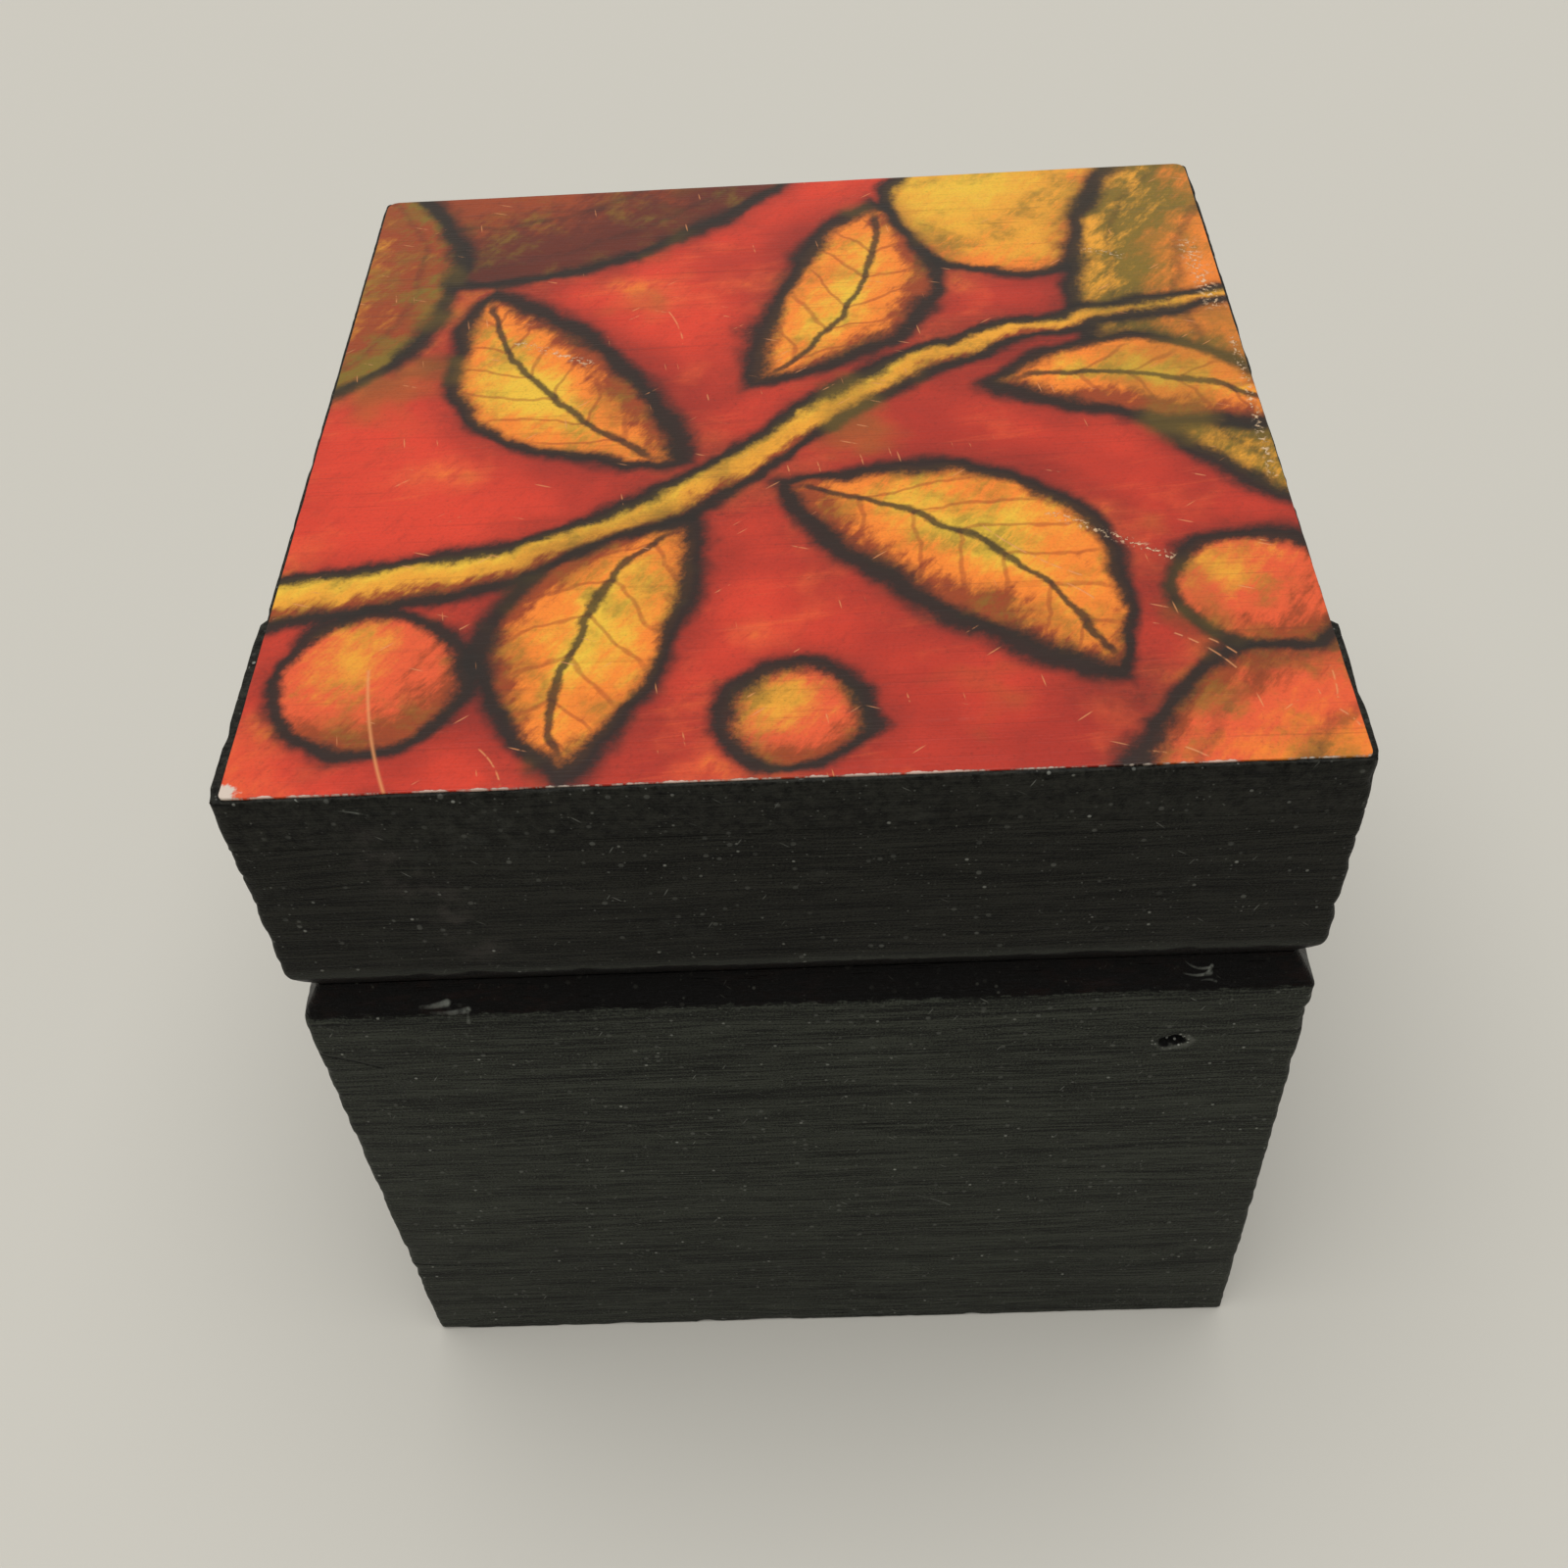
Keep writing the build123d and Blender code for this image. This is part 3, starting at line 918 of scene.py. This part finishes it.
def picture_paint():
    """A made-up painting of leaves and fruit, printed on paper and varnished."""
    paint = Paint("picture")
    canvas = Canvas(paint)
    canvas.round(*SUN, ORANGE, AMBER, YELLOW)
    for hill in HILLS:
        canvas.hill(*hill)
    canvas.branch(*BRANCH)
    for leaf in LEAVES:
        canvas.leaf(*leaf)
    for fruit in FRUITS:
        canvas.round(*fruit, RUST, VERMILION, AMBER)
    colour = canvas.colour

    # Age: olive tints, dry brush, grain showing through, scratches, crinkles with flakes and painted
    # highlights, and torn edges
    olive = paint.noise(16.0, 3.0, place=paint.layer(140.0)).ramp(0.58, 0.72)
    colour = paint.mix(olive * 0.4, colour, OLIVE)
    dry = canvas.grit.ramp(0.56, 0.72) * (canvas.cloud.ramp(0.42, 0.6) * 0.7 + 0.3)
    colour = paint.mix(dry * 0.24, colour, UMBER)
    tooth = paint.noise(0.3, 2.0)
    colour = paint.mix(tooth.ramp(0.45, 0.75) * 0.12, colour, UMBER)
    grain = paint.noise((16.0, 0.3, 9.0), 3.0, 0.7)
    show = paint.noise(22.0, 2.0).ramp(0.35, 0.65)
    colour = paint.mix(grain.ramp(0.56, 0.72) * (show * 0.22 + 0.06), colour, UMBER)
    lines = paint.noise((30.0, 0.9, 9.0), 2.0, 0.6).ramp(0.6, 0.7)
    colour = paint.mix(lines * 0.12, colour, UMBER)

    marks = picture_scratches(paint)
    colour = paint.mix(marks * 0.75, colour, SCRATCHED)
    crinkle_flakes_and_highlights = picture_crinkles(paint)
    # The crinkles' pale flecks are partly flaked varnish and partly painted highlights
    colour = paint.mix(crinkle_flakes_and_highlights * 0.8, colour, FLAKES_AND_HIGHLIGHTS)
    torn = paint.noise((1.6, 9.0, 9.0), 3.0, 0.7)
    front_gap = paint.y - PICTURE_LOW.y
    worn_edge = (front_gap - (torn - 0.5) * 0.8).ramp(0.08, 0.0)
    corner = hypot(paint.x - PICTURE_LOW.x, front_gap) + (paint.noise(0.8, 3.0) - 0.5) * 2.6
    side = paint.z.ramp(TOP_Z + 0.14, TOP_Z + 0.1) * torn.ramp(0.42, 0.55)
    bare = (worn_edge * 0.8).high(corner.ramp(1.9, 1.3)).high(side * 0.7)
    colour = paint.mix(bare, colour, PAPER)

    rough = canvas.cloud * 0.2 + paint.noise(2.5, 3.0) * 0.12 + 0.2 + bare * 0.3
    bump = grain * 0.35 + paint.noise(1.4, 3.0, 0.6) * 0.3 + marks * 0.3
    bump = bump + crinkle_flakes_and_highlights * 0.8 - bare * 0.5
    paint.shader.inputs["Specular IOR Level"].default_value = PICTURE_SHINE
    return paint.finish(colour, rough, bump, PICTURE_BUMP)


def picture_scratches(paint):
    """Light scratches in the picture: some in known places, and a scatter of fine ones."""
    x, y = paint.x, paint.y
    broken = paint.noise(1.2, 3.0).ramp(0.38, 0.5)
    marks = stroke(x, y, *LONG_SCRATCH)
    for start, end, bend in PICTURE_SCRATCHES:
        marks = marks.high(stroke(x, y, start, end, FINE_HALF_WIDTH, bend) * broken)
    for turn in (20.0, -38.0, 80.0):
        scatter = paint.flecks((7.0, 0.7, 50.0), 0.16, 0.16, turn=turn)
        marks = marks.high(scatter * broken * 0.7)
    return marks


def picture_crinkles(paint):
    """Pale ragged flecks on the varnish's crinkles: flaked varnish and painted highlights."""
    crumbs = paint.noise(0.55, 2.0, 0.6).ramp(0.53, 0.6)
    marks = None
    for start, end, half_width in CRINKLES:
        place = stroke(paint.x, paint.y, start, end, half_width)
        marks = place if marks is None else marks.high(place)
    return marks * crumbs


BRASS = rgb(190, 152, 84)
SCREW_BRASS = rgb(204, 168, 98)
TARNISH = rgb(96, 72, 38)


def brass(name, base):
    """Worn brass of the given colour."""
    paint = Paint(name)
    cloud = paint.noise(3.0, 4.0)
    colour = paint.mix(cloud.ramp(0.35, 0.7) * 0.6, base, TARNISH)
    rough = cloud * 0.25 + 0.25
    return paint.finish(colour, rough, paint.noise((3.0, 0.1, 0.1)), BRASS_BUMP, metallic=1.0)


# The boards: node, body, mesh cell, axis of the grain, and how wavy and how jagged the ends are
BOARDS = (
    ("base_front_board", "base", 0.5, 0, (0.1, 0.25)),
    ("base_back_board", "base", 0.8, 0, (0.2, 0.3)),
    ("base_left_board", "base", 0.8, 1, (0.0, 0.0)),
    ("base_right_board", "base", 0.8, 1, (0.0, 0.0)),
    ("bottom_board", "base", 1.6, 0, (0.0, 0.0)),
    ("lid_front_board", "lid", 0.45, 0, (0.25, 0.5)),
    ("lid_back_board", "lid", 0.8, 0, (0.3, 0.3)),
    ("lid_left_board", "lid", 0.8, 1, (0.0, 0.0)),
    ("lid_right_board", "lid", 0.8, 1, (0.0, 0.0)),
    ("lid_top_board", "lid", 0.8, 0, (0.0, 0.2)),
)
wood = (wood_paint("black_paint_grain_x", 0), wood_paint("black_paint_grain_y", 1))
for node, body, cell, grain, ends in BOARDS:
    board(node, body, cell, grain, wood[grain], ends)
picture_sheet(picture_paint())

hinge_metal = brass("hinge_brass", BRASS)
screw_metal = brass("screw_brass", SCREW_BRASS)
for name, node in frame["nodes"].items():
    if "hinge" in name:
        metal = screw_metal if "screws" in name else hinge_metal
        node.data.materials.clear()
        node.data.materials.append(metal)


FLOOR = rgb(197, 194, 185)
FLOOR_ROUGHNESS = 0.7
SURROUNDING = rgb(238, 235, 226)


def floor():
    """A plain pale floor."""
    mesh = bpy.data.meshes.new("floor")
    reach = FLOOR_REACH
    corners = [(-reach, -reach, 0), (reach, -reach, 0), (reach, reach, 0), (-reach, reach, 0)]
    mesh.from_pydata(corners, [], [(0, 1, 2, 3)])
    piece = bpy.data.objects.new("floor", mesh)
    bpy.context.scene.collection.objects.link(piece)
    paint = Paint("floor")
    mesh.materials.append(paint.finish(FLOOR, FLOOR_ROUGHNESS))


def background():
    """A surrounding that lights the box dimly and looks pale wherever it is seen or reflected."""
    world = bpy.data.worlds.new("world")
    world.use_nodes = True
    tree = world.node_tree
    shader = tree.nodes["Background"]
    shader.inputs["Color"].default_value = SURROUNDING
    rays = tree.nodes.new("ShaderNodeLightPath")
    seen = rays.outputs["Is Camera Ray"]
    for kind in ("Is Glossy Ray", "Is Transmission Ray"):
        either = tree.nodes.new("ShaderNodeMath")
        either.operation = "MAXIMUM"
        tree.links.new(seen, either.inputs[0])
        tree.links.new(rays.outputs[kind], either.inputs[1])
        seen = either.outputs[0]
    strength = tree.nodes.new("ShaderNodeMapRange")
    strength.inputs["To Min"].default_value = WORLD_LIGHT
    strength.inputs["To Max"].default_value = WORLD_SEEN
    tree.links.new(seen, strength.inputs["Value"])
    tree.links.new(strength.outputs["Result"], shader.inputs["Strength"])
    bpy.context.scene.world = world


def soft_light(direction, degrees_wide, strength):
    """A very wide overhead light, like a big diffuser above a table."""
    light = bpy.data.lights.new("key", "SUN")
    light.angle = math.radians(degrees_wide)
    light.energy = strength
    holder = bpy.data.objects.new("key", light)
    bpy.context.scene.collection.objects.link(holder)
    holder.rotation_euler = (-Vector(direction)).to_track_quat("-Z", "Y").to_euler()


def camera():
    """The camera of the photograph, from the fitted place and angles."""
    dip, yaw, roll = (math.radians(a) for a in (CAMERA_DIP, CAMERA_YAW, CAMERA_ROLL))
    turn = Matrix.Rotation(yaw, 3, "Z")
    forward = turn @ Vector((0, math.cos(dip), -math.sin(dip)))
    right = turn @ Vector((1, 0, 0))
    up = right.cross(forward)
    x = right * math.cos(roll) + up * math.sin(roll)
    y = up * math.cos(roll) - right * math.sin(roll)
    data = bpy.data.cameras.new("camera")
    data.sensor_width = SENSOR
    data.lens = FOCAL_PX / FRAME_PX * SENSOR
    data.clip_start = 0.01
    holder = bpy.data.objects.new("camera", data)
    bpy.context.scene.collection.objects.link(holder)
    matrix = Matrix((x, y, -forward)).transposed().to_4x4()
    matrix.translation = Vector(CAMERA_PLACE) * METRES
    holder.matrix_world = matrix
    bpy.context.scene.camera = holder


floor()
soft_light(LIGHT_FROM, LIGHT_WIDTH, LIGHT_STRENGTH)
background()
bpy.context.scene.view_settings.view_transform = "Standard"
camera()
